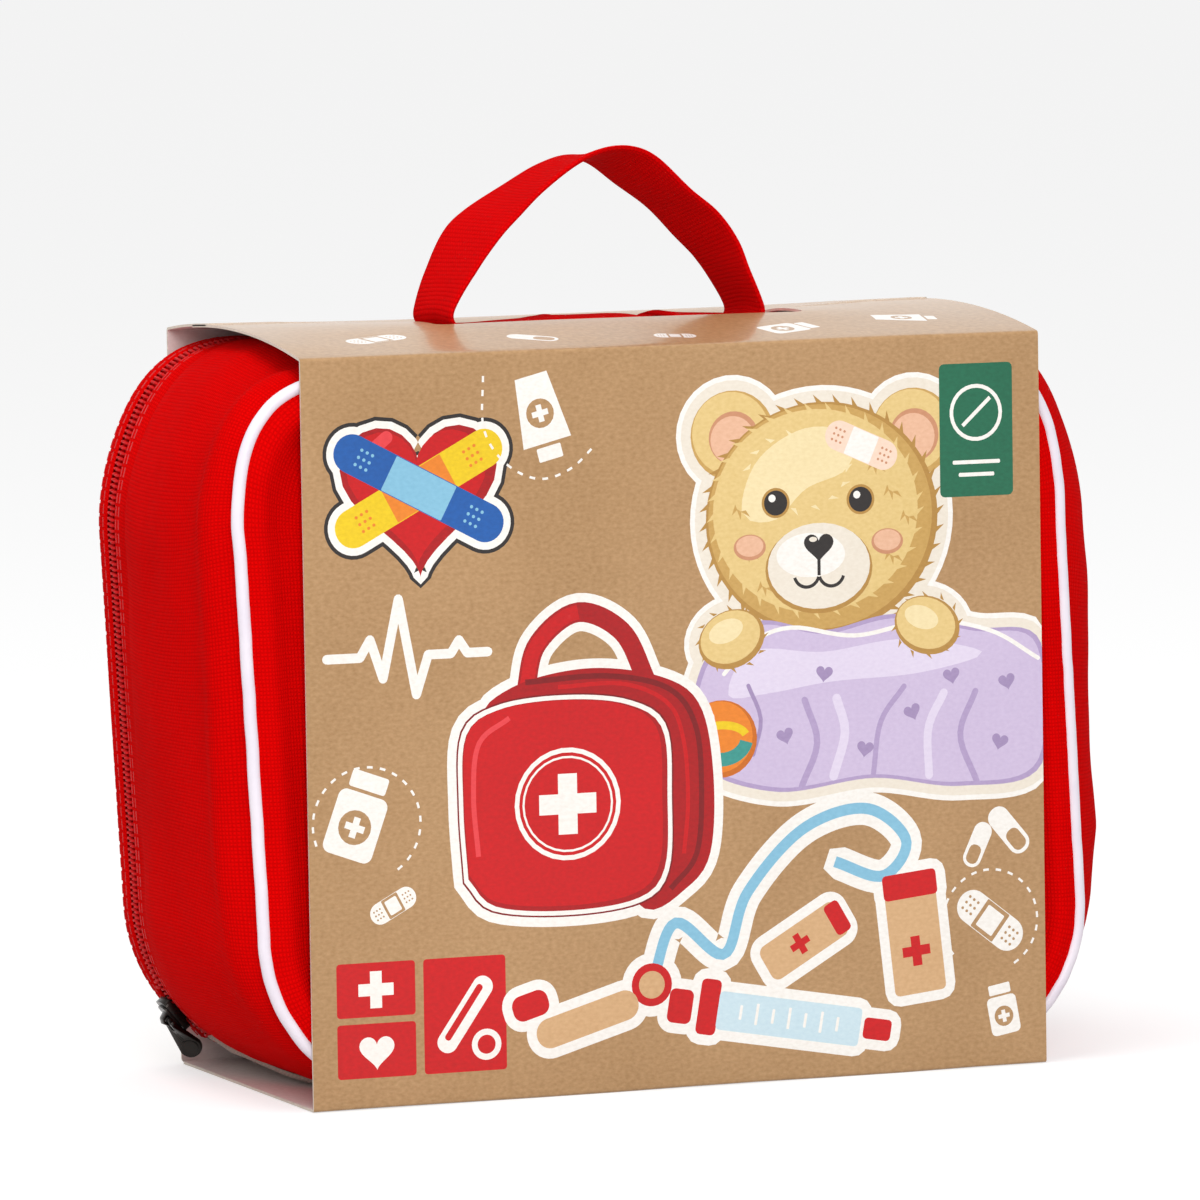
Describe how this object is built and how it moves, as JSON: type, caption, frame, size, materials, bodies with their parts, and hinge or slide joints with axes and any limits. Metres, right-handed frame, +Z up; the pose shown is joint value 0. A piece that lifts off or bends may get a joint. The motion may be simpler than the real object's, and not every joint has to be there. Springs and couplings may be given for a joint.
{
  "type": "toy doctor case",
  "caption": "Soft zipped toy doctor case of red fabric with white piping and a webbing handle, held in a printed board sleeve.",
  "frame": {"origin": "centre of the sleeve's base, on the surface that the case stands on", "axes": "+Z up, the front with the piping faces -Y, +X to the right as seen from the front"},
  "size_m": [0.218, 0.095, 0.2087],
  "materials": {
    "red_fabric": "woven polyester, matt",
    "white_piping": "smooth covered cord",
    "red_piping": "covered cord, matt",
    "red_webbing": "ribbed webbing, matt",
    "red_lining": "thin woven lining, matt",
    "red_binding": "folded seam tape, matt",
    "foam": "closed-cell foam sheet, matt",
    "white_print": "heat-transfer print, satin",
    "zip_tape": "woven zip tape, matt",
    "zip_teeth": "nylon coil, satin",
    "grey_tab": "folded fabric tab, matt",
    "dark_metal": "gunmetal plated, glossy",
    "stiff_board": "grey board, matt",
    "printed_board": "kraft coloured folding board, printed and laminated outside"
  },
  "bodies": {
    "tub": {"front_panel": "red_fabric", "front_foam": "foam", "front_lining": "red_lining", "badge_print": "white_print", "front_piping": "white_piping", "front_seam_binding": "red_binding", "gusset": "red_fabric", "gusset_foam": "foam", "gusset_lining": "red_lining", "floor_board": "stiff_board", "hinge_fold": "red_fabric", "handle_foot_left": "red_webbing", "handle_foot_right": "red_webbing", "handle_backing": "red_binding", "zip_tape_front": "zip_tape", "zip_teeth_front": "zip_teeth", "zip_end_tab_left": "grey_tab", "zip_end_tab_right": "grey_tab", "zip_stops": "dark_metal", "sleeve_front_panel": "printed_board", "sleeve_bottom_panel": "printed_board", "sleeve_top_flap": "printed_board"},
    "cover": {"back_panel": "red_fabric", "back_foam": "foam", "back_lining": "red_lining", "back_piping": "red_piping", "back_seam_binding": "red_binding", "back_gusset": "red_fabric", "hinge_wrap": "red_fabric", "zip_tape_back": "zip_tape", "zip_teeth_back": "zip_teeth"},
    "sleeve_back": {"sleeve_back_panel": "printed_board", "sleeve_back_flap": "printed_board"},
    "slider": {"zip_slider": "dark_metal"},
    "pull": {"zip_pull": "dark_metal"},
    "handle": {"handle_strap": "red_webbing"}
  },
  "joints": [
    {"name": "cover_open", "type": "hinge", "parent": "tub", "child": "cover", "pos_m": [0, 0.0422, 0.0062], "axis": [-1, 0, 0], "range_deg": [0, 90]},
    {"name": "sleeve_back_open", "type": "hinge", "parent": "tub", "child": "sleeve_back", "pos_m": [0, 0.0472, 0.0003], "axis": [-1, 0, 0], "range_deg": [0, 90]},
    {"name": "slider_run", "type": "hinge", "parent": "tub", "child": "slider", "pos_m": [-0.06788, 0.033, 0.03968], "axis": [0, 1, 0], "range_deg": [0, 40]},
    {"name": "pull_swing", "type": "hinge", "parent": "slider", "child": "pull", "pos_m": [-0.10011, 0.033, 0.01263], "axis": [0, 1, 0], "range_deg": [0, 150]},
    {"name": "handle_swing", "type": "hinge", "parent": "tub", "child": "handle", "pos_m": [0, 0, 0.18655], "axis": [1, 0, 0], "range_deg": [-70, 70], "stiffness_Nm_per_rad": 0.02}
  ],
  "couplings": [
    {"joint": "sleeve_back_open", "follows": "cover_open", "ratio": 1}
  ]
}
